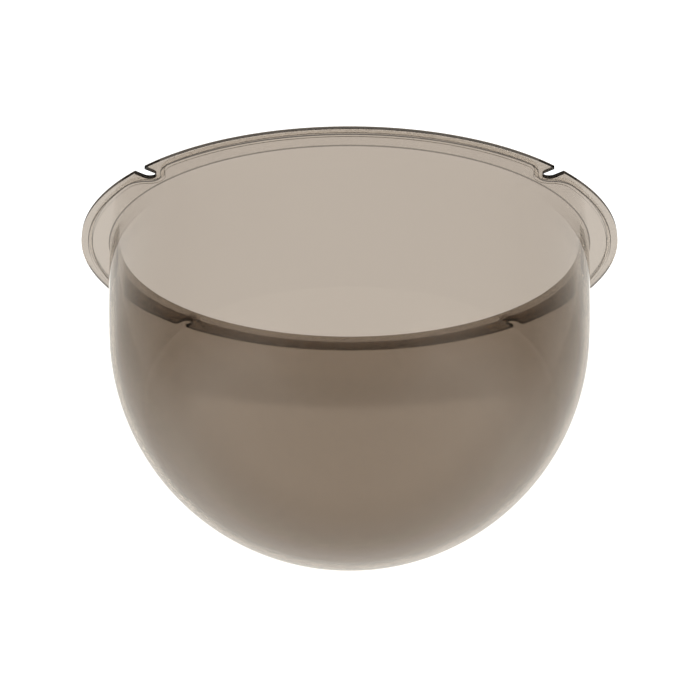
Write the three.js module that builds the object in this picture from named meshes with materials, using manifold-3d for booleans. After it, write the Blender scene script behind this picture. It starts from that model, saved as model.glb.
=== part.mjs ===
// Smoked dome cover: one see-through moulding with a hemisphere, a short drafted neck and a thin flange.
// The flange has open screw notches, and a seal lies in a groove on its clamp side with a rib behind it.
// Millimetres, +Z up. The origin is the centre of the flange's flat clamp face, and the dome hangs below.
import * as THREE from "three";
import { mergeVertices } from "three/addons/utils/BufferGeometryUtils.js";
import Module from "manifold-3d";

// Dome and neck
const DOME_RADIUS = 75;
const WALL = 2.5;
const NECK_LENGTH = 25.6; // from the hemisphere's centre up to the flange
const NECK_DRAFT = THREE.MathUtils.degToRad(2);
const NECK_FILLET = 0.3;

// Flange and its notches
const FLANGE_RADIUS = 85;
const FLANGE_THICKNESS = 1.2;
const NOTCH_COUNT = 4;
const NOTCH_WIDTH = 4.4;
const NOTCH_DEPTH = 5.6;
const FIRST_NOTCH = THREE.MathUtils.degToRad(45);

// Seal and its groove
const SEAL_WIDTH = 1.05;
const SEAL_HEIGHT = 0.8;
const SEAL_PROUD = 0.5; // what stands out of the groove, on the clamp side
const SEAL_ROUND = 0.2; // on the seal's long edges
const SEAL_RIM_LAND = 2.3; // flange between the seal and the rim
const SEAL_NOTCH_LAND = 1.2; // flange between the seal and a notch's round end
const SEAL_BEND = 8; // where the seal leaves the rim's circle to pass a notch
const GROOVE_CLEARANCE = 0.05;

// Facets
const TURN_STEPS = 72;
const DOME_STEPS = 12;
const FILLET_STEPS = 3;
const NOTCH_STEPS = 10;
const RIM_STEPS = 10; // along the seal between two notches
const BEND_STEPS = 4;
const DIP_STEPS = 7;
const CUT_MARGIN = 1; // how far a cutter reaches past what it cuts

const QUARTER = Math.PI / 2;
const wasm = await Module();
wasm.setup();

// A closed geometry as a solid that can be joined and cut
function solidFrom(geometry) {
  geometry.deleteAttribute("normal");
  geometry.deleteAttribute("uv");
  const merged = mergeVertices(geometry, 1e-4);
  return new wasm.Manifold(
    new wasm.Mesh({
      numProp: 3,
      vertProperties: merged.attributes.position.array,
      triVerts: new Uint32Array(merged.index.array),
    }),
  );
}

// A named mesh of a finished solid
function meshFrom(name, solid, material) {
  const { vertProperties, triVerts } = solid.getMesh();
  const geometry = new THREE.BufferGeometry();
  geometry.setAttribute("position", new THREE.BufferAttribute(vertProperties, 3));
  geometry.setIndex(new THREE.BufferAttribute(triVerts, 1));
  geometry.computeVertexNormals();
  const mesh = new THREE.Mesh(geometry, material);
  mesh.name = name;
  return mesh;
}

// Points along an arc, turning clockwise where the end angle is the smaller one
function arc(x, y, radius, from, to, steps) {
  return new THREE.EllipseCurve(x, y, radius, radius, from, to, to < from).getPoints(steps);
}

// The moulding before its cuts, turned about the axis. Sphere and cone meet in a tangent,
// which lies below the hemisphere's centre by the neck's draft.
function turnedShell() {
  const underside = -FLANGE_THICKNESS;
  const centre = underside - NECK_LENGTH;
  const coneRadius = (sphereRadius, z) =>
    sphereRadius / Math.cos(NECK_DRAFT) + (z - centre) * Math.tan(NECK_DRAFT);
  const filletZ = underside - NECK_FILLET;
  const filletRadius = coneRadius(DOME_RADIUS, filletZ) + NECK_FILLET / Math.cos(NECK_DRAFT);
  const inside = DOME_RADIUS - WALL;
  const profile = [
    ...arc(0, centre, DOME_RADIUS, -QUARTER, -NECK_DRAFT, DOME_STEPS),
    ...arc(filletRadius, filletZ, NECK_FILLET, Math.PI - NECK_DRAFT, QUARTER, FILLET_STEPS),
    new THREE.Vector2(FLANGE_RADIUS, underside),
    new THREE.Vector2(FLANGE_RADIUS, 0),
    new THREE.Vector2(coneRadius(inside, 0), 0),
    ...arc(0, centre, inside, -NECK_DRAFT, -QUARTER, DOME_STEPS),
  ];
  profile[0].x = 0;
  profile.at(-1).x = 0;
  return new THREE.LatheGeometry(profile, TURN_STEPS).rotateX(QUARTER);
}

const notchRadius = NOTCH_WIDTH / 2;
const notchEnd = FLANGE_RADIUS - NOTCH_DEPTH + notchRadius; // centre of a notch's round end
const notchAngles = Array.from(
  { length: NOTCH_COUNT },
  (_, i) => FIRST_NOTCH + (i * 2 * Math.PI) / NOTCH_COUNT,
);

// What a notch takes out of the flange: parallel sides open to the rim, and a round inner end
function notchCutter(angle) {
  const mouth = FLANGE_RADIUS + CUT_MARGIN;
  const outline = new THREE.Shape([
    new THREE.Vector2(mouth, notchRadius),
    ...arc(notchEnd, 0, notchRadius, QUARTER, 3 * QUARTER, NOTCH_STEPS),
    new THREE.Vector2(mouth, -notchRadius),
  ]);
  const depth = FLANGE_THICKNESS + 2 * CUT_MARGIN;
  return new THREE.ExtrudeGeometry(outline, { depth, bevelEnabled: false })
    .translate(0, 0, -FLANGE_THICKNESS - CUT_MARGIN)
    .rotateZ(angle);
}

// The seal's path, moved out from its middle line by an offset. Between the notches it is a circle.
// At each notch a bend leads to an arc inside the notch's end, and a second bend leads back.
function sealOutline(offset) {
  const rim = FLANGE_RADIUS - SEAL_RIM_LAND - SEAL_WIDTH / 2;
  const dip = rim - (FLANGE_RADIUS - NOTCH_DEPTH - SEAL_NOTCH_LAND - SEAL_WIDTH / 2);
  const bendCentre = rim - SEAL_BEND;
  const bendAngle = Math.acos(
    (bendCentre ** 2 + rim ** 2 - (dip + SEAL_BEND) ** 2) / (2 * bendCentre * rim),
  );
  const bendX = bendCentre * Math.cos(bendAngle);
  const bendY = bendCentre * Math.sin(bendAngle);
  const turn = Math.atan2(bendY, rim - bendX);
  const nextBend = (2 * Math.PI) / NOTCH_COUNT - bendAngle;
  const stretch = [
    ...arc(bendX, -bendY, SEAL_BEND + offset, -bendAngle, turn, BEND_STEPS).slice(0, -1),
    ...arc(rim, 0, dip - offset, Math.PI + turn, Math.PI - turn, DIP_STEPS).slice(0, -1),
    ...arc(bendX, bendY, SEAL_BEND + offset, -turn, bendAngle, BEND_STEPS).slice(0, -1),
    ...arc(0, 0, rim + offset, bendAngle, nextBend, RIM_STEPS).slice(0, -1),
  ];
  const origin = new THREE.Vector2();
  return notchAngles.flatMap((angle) => stretch.map((p) => p.clone().rotateAround(origin, angle)));
}

// An endless band along the seal's path, grown on both sides, with long edges rounded
function sealBand(grown, bottom, top, round) {
  const half = SEAL_WIDTH / 2 + grown;
  const outline = new THREE.Shape(sealOutline(half));
  outline.holes.push(new THREE.Path(sealOutline(-half)));
  return new THREE.ExtrudeGeometry(outline, {
    depth: top - bottom - 2 * round,
    bevelEnabled: round > 0,
    bevelThickness: round,
    bevelSize: round,
    bevelOffset: -round,
    bevelSegments: 2,
  }).translate(0, 0, bottom + round);
}

const smokedPlastic = new THREE.MeshStandardMaterial({
  color: 0x6b5f53,
  roughness: 0.05,
  metalness: 0,
  transparent: true,
  opacity: 0.45,
});
const sealRubber = new THREE.MeshStandardMaterial({
  color: 0x5e5348,
  roughness: 0.4,
  metalness: 0,
  transparent: true,
  opacity: 0.7,
});

// The rib behind the groove stands out as far as the seal sinks in, so the flange keeps its thickness.
const sealSunk = SEAL_HEIGHT - SEAL_PROUD;
const groove = sealBand(GROOVE_CLEARANCE, -sealSunk - GROOVE_CLEARANCE, CUT_MARGIN, 0);
const rib = sealBand(GROOVE_CLEARANCE, -FLANGE_THICKNESS - sealSunk, -FLANGE_THICKNESS / 2, 0);
const uncut = solidFrom(turnedShell()).add(solidFrom(rib));
const cuts = [...notchAngles.map(notchCutter), groove];
const shell = cuts.reduce((solid, cut) => solid.subtract(solidFrom(cut)), uncut);
const seal = solidFrom(sealBand(0, -sealSunk, SEAL_PROUD, SEAL_ROUND));

const domeCover = new THREE.Group();
domeCover.add(meshFrom("dome_shell", shell, smokedPlastic));
domeCover.add(meshFrom("rim_seal", seal, sealRubber));

export default domeCover;
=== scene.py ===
import math

import bmesh
import bpy
from mathutils import Matrix, Vector


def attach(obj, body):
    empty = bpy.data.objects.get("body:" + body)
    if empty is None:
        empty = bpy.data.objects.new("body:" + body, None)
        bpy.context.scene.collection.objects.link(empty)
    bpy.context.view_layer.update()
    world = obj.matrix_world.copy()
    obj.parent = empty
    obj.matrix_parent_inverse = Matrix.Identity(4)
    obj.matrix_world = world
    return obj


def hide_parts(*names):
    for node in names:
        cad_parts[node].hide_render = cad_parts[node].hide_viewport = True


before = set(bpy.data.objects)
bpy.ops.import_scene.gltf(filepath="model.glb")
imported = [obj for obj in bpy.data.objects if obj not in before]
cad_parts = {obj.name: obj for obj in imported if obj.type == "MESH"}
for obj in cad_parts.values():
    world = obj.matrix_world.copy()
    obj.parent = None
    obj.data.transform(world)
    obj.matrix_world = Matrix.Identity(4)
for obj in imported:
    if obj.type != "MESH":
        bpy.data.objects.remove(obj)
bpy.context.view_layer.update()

# Dome shell: one moulding of smoked see-through polycarbonate, a hemisphere on a short drafted neck.
# Its thin flange has open screw notches, a seal groove on the clamp side and a rib behind the groove.
# Screws through the notches hold the flange up against a base. Its rim, notches, groove, rib and fillet
# carry painted shade.
dome_radius = 0.075
wall = 0.0025
neck_length = 0.0256
neck_draft = math.radians(2)
neck_fillet = 0.0003
ease_tilt = math.radians(5.5)  # where the hemisphere starts to straighten into the neck
ease_lift = 0.0081
flange_radius = 0.085
flange_thickness = 0.0012
notch_count = 4
notch_radius = 0.0022
notch_depth = 0.0056
first_notch = math.radians(45)
seal_width = 0.00105
seal_sunk = 0.0003
seal_rim_land = 0.0023
seal_notch_land = 0.0012
seal_bend = 0.008
groove_gap = 0.00002
groove_round = 0.0002
rib_root = 0.0002
# The rim's painted dark line of shade: where it starts down the face, how deep it runs, and how far
# beside a notch it is darker.
edge_start = 0.00015  # the dark line on the rim's face starts here
edge_line = 0.0008
notch_shade_reach = 0.008  # how far the rim's line is darker beside a notch
smoke_light = (0.394, 0.34, 0.286, 1)
smoke_deep = (0.38, 0.326, 0.275, 1)
# Painted shade: a near black colour that marked faces go over to, and below how far at each place.
painted_shade_colour = (0.001, 0.0008, 0.0006, 1)
rim_shade = 0.96
notch_shade = 1.0
groove_shade = 0.82
rib_shade = (0.9, 0.65)  # outer and inner side
fillet_shade = 0.77
cloud_scale = 14
body_ior = 1.03  # low, since full refraction darkens the neck's ends
gloss_ior = 1.586
weld = 2e-6
dome_steps = 48
neck_steps = 6
turn_steps = 240
round_steps = 4
bend_steps = 12
dip_steps = 20
circle_steps = 56
rim_steps = 60
notch_steps = 24
line_tilt = 0.99  # how upright the normal may be on a wall of groove, rib or notch
fillet_tilt = 0.999
flat_tilt = 0.9999
crease_angle = math.radians(35)
side_margin = 1.05  # with the next one takes in a notch's wall and none of the groove or rib
end_margin = 1.02

upright = Vector((0, 0, 1))
across = Vector((0, 1, 0))
axis_point = Vector((0, 0, 0))
quarter = math.pi / 2
pitch = 2 * math.pi / notch_count
notch_end = flange_radius - notch_depth + notch_radius
dome_centre = Vector((0, 0, -flange_thickness - neck_length))
ease_reach = ease_lift / (math.sin(ease_tilt) - math.sin(neck_draft))
ease_centre = dome_centre + ease_reach * Vector((-math.cos(ease_tilt), 0, math.sin(ease_tilt)))


def swing(bm, vert, centre, axis, angle, steps):
    """The last vertex of an arc that starts at vert and turns about an axis through centre."""
    arc = bmesh.ops.spin(bm, geom=[vert], cent=centre, axis=axis, angle=angle, steps=steps)
    return arc["geom_last"][0]


def reach(bm, vert, place):
    """The far vertex of a straight edge from vert to a place."""
    end = bmesh.ops.extrude_vert_indiv(bm, verts=[vert])["verts"][0]
    end.co = place
    return end


def neck_radius(sphere_radius, height):
    """Radius of the drafted neck that runs on from a sphere and its easing without a crease."""
    turned = (sphere_radius + ease_reach) / math.cos(neck_draft)
    return ease_centre.x + turned + (height - ease_centre.z) * math.tan(neck_draft)


def turn_wall(bm, radius, height):
    """One wall's profile from the crown to a height on the neck, and its top vertex."""
    vert = bmesh.ops.create_vert(bm, co=dome_centre - radius * upright)["vert"][0]
    vert = swing(bm, vert, dome_centre, across, ease_tilt - quarter, dome_steps)
    vert = swing(bm, vert, ease_centre, across, neck_draft - ease_tilt, neck_steps)
    return reach(bm, vert, Vector((neck_radius(radius, height), 0, height)))


# The outer wall with its fillet and the inner wall are turned about the axis.
bm = bmesh.new()
fillet_height = -flange_thickness - neck_fillet * (1 + math.sin(neck_draft))
fillet_start = turn_wall(bm, dome_radius, fillet_height + neck_fillet * math.sin(neck_draft))
fillet_side = Vector((math.cos(neck_draft), 0, -math.sin(neck_draft)))
fillet_centre = fillet_start.co + neck_fillet * fillet_side
swing(bm, fillet_start, fillet_centre, across, quarter - neck_draft, neck_steps)
turn_wall(bm, dome_radius - wall, 0)
bmesh.ops.spin(
    bm,
    geom=bm.verts[:] + bm.edges[:],
    cent=axis_point,
    axis=upright,
    angle=2 * math.pi,
    steps=turn_steps,
    use_merge=True,
)
bmesh.ops.remove_doubles(bm, verts=bm.verts, dist=weld)

# The seal's path is a circle near the rim. At each notch a bend leads to a dip, and a second bend back.
seal_circle = flange_radius - seal_rim_land - seal_width / 2
seal_dip = seal_circle - (flange_radius - notch_depth - seal_notch_land - seal_width / 2)
bend_reach = seal_circle - seal_bend
bend_sides = bend_reach**2 + seal_circle**2 - (seal_dip + seal_bend) ** 2
bend_at = math.acos(bend_sides / (2 * bend_reach * seal_circle))
bend_centre = bend_reach * Vector((math.cos(bend_at), math.sin(bend_at), 0))
slope = math.atan2(bend_centre.y, seal_circle - bend_centre.x)
seal_swings = (
    (Vector((bend_centre.x, -bend_centre.y, 0)), slope + bend_at, bend_steps),
    (Vector((seal_circle, 0, 0)), -2 * slope, dip_steps),
    (bend_centre, slope + bend_at, bend_steps),
    (axis_point, pitch - 2 * bend_at, circle_steps),
)


def draw_section(bm, corners):
    """A section across the seal's path. Each corner has an offset, height, radius, start and turn."""
    ahead = Matrix.Rotation(first_notch - bend_at, 3, "Z")
    vert = None
    for offset, height, radius, start, turn in corners:
        centre = ahead @ Vector((seal_circle + offset, 0, height))
        place = centre + radius * (ahead @ Vector((math.cos(start), 0, math.sin(start))))
        vert = reach(bm, vert, place) if vert else bmesh.ops.create_vert(bm, co=place)["vert"][0]
        if turn:
            vert = swing(bm, vert, centre, ahead @ -across, turn, round_steps)


def sweep_section(bm, section):
    """Swings a section along the seal's path, once round the flange."""
    for i in range(notch_count):
        turn = Matrix.Rotation(first_notch + i * pitch, 3, "Z")
        for centre, angle, steps in seal_swings:
            swept = bmesh.ops.spin(
                bm, geom=section, cent=turn @ centre, axis=upright, angle=angle, steps=steps
            )
            section = swept["geom_last"]


walls = set(bm.verts[:] + bm.edges[:])
groove_half = seal_width / 2 + groove_gap
groove_in = groove_half - groove_round
groove_low = groove_round - seal_sunk - groove_gap
draw_section(
    bm,
    (
        (groove_half, 0, 0, 0, 0),
        (groove_in, groove_low, groove_round, 0, -quarter),
        (-groove_in, groove_low, groove_round, -quarter, -quarter),
        (-groove_half, 0, 0, 0, 0),
    ),
)
rib_out = groove_half + rib_root
rib_high = -flange_thickness - rib_root
rib_low = -flange_thickness - seal_sunk
draw_section(
    bm,
    (
        (rib_out, rib_high, rib_root, quarter, quarter),
        (groove_half, rib_low, 0, 0, 0),
        (-groove_half, rib_low, 0, 0, 0),
        (-rib_out, rib_high, rib_root, 0, quarter),
    ),
)
sweep_section(bm, [item for item in bm.verts[:] + bm.edges[:] if item not in walls])

# The rim's outline with its notches is drawn down through the flange's thickness.
mouth = math.asin(notch_radius / flange_radius)
mouth_corner = Vector((flange_radius * math.cos(mouth), notch_radius, 0))
rim = bmesh.new()
first_corner = Matrix.Rotation(first_notch, 3, "Z") @ mouth_corner
vert = bmesh.ops.create_vert(rim, co=first_corner)["vert"][0]
for i in range(1, notch_count + 1):
    turn = Matrix.Rotation(first_notch + i * pitch, 3, "Z")
    vert = swing(rim, vert, axis_point, upright, pitch - 2 * mouth, rim_steps)
    vert = reach(rim, vert, turn @ Vector((notch_end, -notch_radius, 0)))
    vert = swing(rim, vert, turn @ Vector((notch_end, 0, 0)), upright, -math.pi, notch_steps)
    vert = reach(rim, vert, turn @ mouth_corner)
bmesh.ops.remove_doubles(rim, verts=rim.verts, dist=weld)
edges = rim.edges[:]
# The rim's face is split into three bands, so that the painted dark line covers only the middle one.
for drop in (edge_start, edge_line, flange_thickness - edge_start - edge_line):
    drawn = bmesh.ops.extrude_edge_only(rim, edges=edges)["geom"]
    edges = [item for item in drawn if isinstance(item, bmesh.types.BMEdge)]
    verts = [item for item in drawn if isinstance(item, bmesh.types.BMVert)]
    bmesh.ops.translate(rim, verts=verts, vec=-drop * upright)
mesh = bpy.data.meshes.new("dome_shell_smoked")
rim.to_mesh(mesh)
rim.free()
bm.from_mesh(mesh)

# The flange's two flat sides close what lies between the rim, the groove or rib, and the neck.
bmesh.ops.remove_doubles(bm, verts=bm.verts, dist=weld)
open_edges = [edge for edge in bm.edges if edge.is_boundary]
middle = -flange_thickness / 2
for side in (-1, 1):
    outlines = [edge for edge in open_edges if side * (edge.verts[0].co.z - middle) > 0]
    bmesh.ops.triangle_fill(bm, edges=outlines, use_beauty=True, normal=upright)
bmesh.ops.recalc_face_normals(bm, faces=bm.faces)

# Each face holds how far painted shade darkens its colour and takes its gloss, most at the rim and the
# notches.
shade = bm.faces.layers.float.new("edge_shade")
neck_edge = neck_radius(dome_radius, fillet_height)
on_rim = flange_radius * math.cos(pitch / rim_steps)
for face in bm.faces:
    face.smooth = True
    centre = face.calc_center_median()
    around = centre.xy.length
    tilt = abs(face.normal.z)
    bearing = math.atan2(centre.y, centre.x)
    from_notch = abs(math.remainder(bearing - first_notch, pitch)) * around
    # Painted shade: a dark line partway down the rim's face, darker beside each notch.
    if around > on_rim:
        rim_line = notch_shade if from_notch < notch_shade_reach else rim_shade
        face[shade] = rim_line if 0 < -centre.z - edge_start < edge_line else 0
    # Painted shade on the walls of notches, groove and rib, outward-facing walls darker than inward
    # ones; then on the neck's fillet.
    elif around > neck_edge + 2 * neck_fillet and tilt < line_tilt:
        past_end = around > flange_radius - end_margin * notch_depth
        on_notch = from_notch < side_margin * notch_radius and past_end
        inward = face.normal.xy.dot(centre.xy) < 0
        seal_line = rib_shade[inward] if centre.z < middle else groove_shade * (not inward)
        face[shade] = notch_shade if on_notch else seal_line
    elif around > neck_edge and centre.z < middle and tilt < fillet_tilt:
        face[shade] = fillet_shade
for edge in bm.edges:
    flat = [abs(face.normal.z) > flat_tilt for face in edge.link_faces]
    edge.smooth = edge.calc_face_angle(0) <= crease_angle and any(flat) == all(flat)
bm.to_mesh(mesh)
bm.free()
shell = bpy.data.objects.new("smoked_shell", mesh)
bpy.context.scene.collection.objects.link(shell)


class Socket:
    """An output in a node tree. Arithmetic on it adds maths nodes, and node() adds any other kind."""

    def __init__(self, tree, output=None):
        self.tree = tree
        self.output = output

    def node(self, kind, inputs, output=0, **settings):
        """An output of a new node, with its inputs set to values or linked to sockets."""
        made = self.tree.nodes.new(kind)
        for name, value in settings.items():
            setattr(made, name, value)
        for name, value in inputs.items():
            self.feed(made.inputs[name], value)
        return Socket(self.tree, made.outputs[output])

    def feed(self, target, value):
        """Sets an input to a value, or links it to a socket."""
        if isinstance(value, Socket):
            self.tree.links.new(value.output, target)
        else:
            target.default_value = value

    def maths(self, operation, one, other):
        """The result of a maths node on two values or sockets."""
        return self.node("ShaderNodeMath", {0: one, 1: other}, operation=operation)

    def __add__(self, other):
        return self.maths("ADD", self, other)

    __radd__ = __add__

    def __sub__(self, other):
        return self.maths("SUBTRACT", self, other)

    def __rsub__(self, other):
        return self.maths("SUBTRACT", other, self)

    def __mul__(self, other):
        return self.maths("MULTIPLY", self, other)

    __rmul__ = __mul__

    def __pow__(self, other):
        return self.maths("POWER", self, other)

    def __rpow__(self, other):
        return self.maths("POWER", other, self)


def mix_colours(share, colour, other):
    """A colour that goes over to another one by a share from 0 to 1."""
    # Inputs 6 and 7 and output 2 are the mix node's colours.
    return share.node("ShaderNodeMix", {0: share, 6: colour, 7: other}, 2, data_type="RGBA")


smoked = bpy.data.materials.new("smoked_polycarbonate")
smoked.use_nodes = True
gloss = smoked.node_tree.nodes["Principled BSDF"]
root = Socket(smoked.node_tree)
place = root.node("ShaderNodeTexCoord", {}, "Object")
cloud = root.node("ShaderNodeTexNoise", {"Vector": place, "Scale": cloud_scale, "Detail": 2})
edge_shade = root.node("ShaderNodeAttribute", {}, "Fac", attribute_name="edge_shade")
smoke = mix_colours(cloud, smoke_light, smoke_deep)
# Painted shade: faces marked in the edge_shade attribute go over to the near black colour.
root.feed(gloss.inputs["Base Color"], mix_colours(edge_shade, smoke, painted_shade_colour))
gloss.inputs["Roughness"].default_value = 0
gloss.inputs["IOR"].default_value = body_ior
gloss.inputs["Transmission Weight"].default_value = 1
# Painted shade also takes the gloss coat off the marked faces, so they reflect no light.
root.feed(gloss.inputs["Coat Weight"], 1 - edge_shade)
gloss.inputs["Coat Roughness"].default_value = 0
gloss.inputs["Coat IOR"].default_value = gloss_ior
mesh.materials.append(smoked)
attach(shell, "root")
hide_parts("dome_shell")

# Rim seal: an endless band of soft translucent rubber with rounded long edges, pressed into the groove.
# It stands a little proud of the clamp face, follows the rim and passes each notch on the inner side.
seal_proud = 0.0005
seal_round = 0.0002
rubber_light = (0.9, 0.88, 0.85, 1)
rubber_deep = (0.84, 0.81, 0.77, 1)
rubber_cloud = 60
rubber_polish = 0.05
rubber_haze = 0.1
seal_in = seal_width / 2 - seal_round
seal_top = seal_proud - seal_round
seal_bottom = seal_round - seal_sunk
bm = bmesh.new()
draw_section(
    bm,
    (
        (seal_in, seal_top, seal_round, 0, quarter),
        (-seal_in, seal_top, seal_round, quarter, quarter),
        (-seal_in, seal_bottom, seal_round, 2 * quarter, quarter),
        (seal_in, seal_bottom, seal_round, 3 * quarter, quarter),
        (seal_in, seal_top, seal_round, 0, 0),
    ),
)
bmesh.ops.remove_doubles(bm, verts=bm.verts, dist=weld)
sweep_section(bm, bm.verts[:] + bm.edges[:])
bmesh.ops.remove_doubles(bm, verts=bm.verts, dist=weld)
bmesh.ops.recalc_face_normals(bm, faces=bm.faces)
for face in bm.faces:
    face.smooth = True
mesh = bpy.data.meshes.new("rim_seal_band")
bm.to_mesh(mesh)
bm.free()
seal = bpy.data.objects.new("seal_band", mesh)
bpy.context.scene.collection.objects.link(seal)

rubber = bpy.data.materials.new("seal_rubber")
rubber.use_nodes = True
soft = rubber.node_tree.nodes["Principled BSDF"]
root = Socket(rubber.node_tree)
place = root.node("ShaderNodeTexCoord", {}, "Object")
cloud = root.node("ShaderNodeTexNoise", {"Vector": place, "Scale": rubber_cloud, "Detail": 3})
root.feed(soft.inputs["Base Color"], mix_colours(cloud, rubber_light, rubber_deep))
root.feed(soft.inputs["Roughness"], rubber_polish + rubber_haze * cloud)
soft.inputs["IOR"].default_value = body_ior
soft.inputs["Transmission Weight"].default_value = 1
mesh.materials.append(rubber)
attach(seal, "root")
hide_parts("rim_seal")

# Studio: a wide pale floor well below the hanging dome, and a plain white backdrop all round.
# Reflections see soft light that is bright behind the dome and above the camera, and dim elsewhere.
floor_height = -0.6
floor_reach = 60
floor_cloud = 2
floor_light = (0.8, 0.8, 0.8, 1)
floor_deep = (0.76, 0.76, 0.76, 1)
studio_white = (1.41, 1.43, 1.44, 1)
studio_warm = (1.41, 1.37, 1.29, 1)
camera_pitch = math.radians(20.71)
wash_strength = 0.5
wash_fall = 1.4
flank_strength = 0.4
glare_strength = 0.5
ground_strength = 0.2
ground_flank = 0.4
above_strength = 1.25
wash_span = (0, 0.78)
glare_span = (0.935, 0.98)
beyond_span = (-0.95, -0.75)
low_span = (0.25, 0)
below_span = (-0.1, -0.45)
above_span = (math.sin(math.radians(25.2)), math.sin(math.radians(26.8)))
front_span = (0.3, -0.3)
bm = bmesh.new()
floor_place = Matrix.Translation((0, 0, floor_height))
bmesh.ops.create_grid(bm, x_segments=1, y_segments=1, size=floor_reach, matrix=floor_place)
mesh = bpy.data.meshes.new("studio_floor")
bm.to_mesh(mesh)
bm.free()
floor = bpy.data.objects.new("studio_floor", mesh)
bpy.context.scene.collection.objects.link(floor)
floor.visible_glossy = False
paint = bpy.data.materials.new("floor_paint")
paint.use_nodes = True
root = Socket(paint.node_tree)
place = root.node("ShaderNodeTexCoord", {}, "Object")
cloud = root.node("ShaderNodeTexNoise", {"Vector": place, "Scale": floor_cloud})
pale = mix_colours(cloud, floor_light, floor_deep)
root.feed(paint.node_tree.nodes["Principled BSDF"].inputs["Base Color"], pale)
mesh.materials.append(paint)


def ramp(value, span, **settings):
    """A share that goes from 0 to 1 as a value goes over a span."""
    start, full = span
    inputs = {"Value": value, "From Min": start, "From Max": full}
    return value.node("ShaderNodeMapRange", inputs, **settings)


world = bpy.data.worlds.new("white_studio")
world.use_nodes = True
root = Socket(world.node_tree)
view = root.node("ShaderNodeTexCoord", {}, "Generated")
behind = (0, math.cos(camera_pitch), math.sin(camera_pitch))
facing = root.node("ShaderNodeVectorMath", {0: view, 1: behind}, "Value", operation="DOT_PRODUCT")
side, depth, height = (root.node("ShaderNodeSeparateXYZ", {0: view}, axis) for axis in "XYZ")
flank = side**2
wash = ramp(facing, wash_span)
glare = ramp(facing, glare_span)
beyond = ramp(facing, beyond_span)
low = ramp(height, low_span)
below = ramp(height, below_span)
above = ramp(height, above_span, interpolation_type="SMOOTHSTEP")
front = ramp(depth, front_span)
backdrop = wash_strength * wash**wash_fall + flank_strength * wash * flank * low + glare_strength * glare
ground = below * beyond * (ground_strength + ground_flank * flank)
reflected = backdrop + ground + above_strength * above * front
glossed = root.node("ShaderNodeLightPath", {}, "Glossy Depth")
scattered = root.node("ShaderNodeLightPath", {}, "Diffuse Depth")
bounced = root.maths("MINIMUM", glossed + scattered, 1)
back = world.node_tree.nodes["Background"]
root.feed(back.inputs["Color"], mix_colours(bounced, studio_white, studio_warm))
root.feed(back.inputs["Strength"], 1 + bounced * (reflected - 1))
bpy.context.scene.world = world
bpy.context.scene.view_settings.view_transform = "Standard"

# Camera: in front of the dome and below it, looking up at the flange's dome side.
# Its focal length and place are fitted to the outlines of the rim, the neck and the hemisphere.
image_width = 700
focal_pixels = 1636
camera_distance = 0.5133
aim_height = -0.03307
sideways = 0.00016
lens = bpy.data.cameras.new("camera")
lens.sensor_width = 36
lens.lens = lens.sensor_width * focal_pixels / image_width
lens.clip_start = 0.01
camera = bpy.data.objects.new("camera", lens)
camera.location = (
    sideways,
    -camera_distance * math.cos(camera_pitch),
    aim_height - camera_distance * math.sin(camera_pitch),
)
camera.rotation_euler = (quarter + camera_pitch, 0, 0)
bpy.context.scene.collection.objects.link(camera)
bpy.context.scene.camera = camera
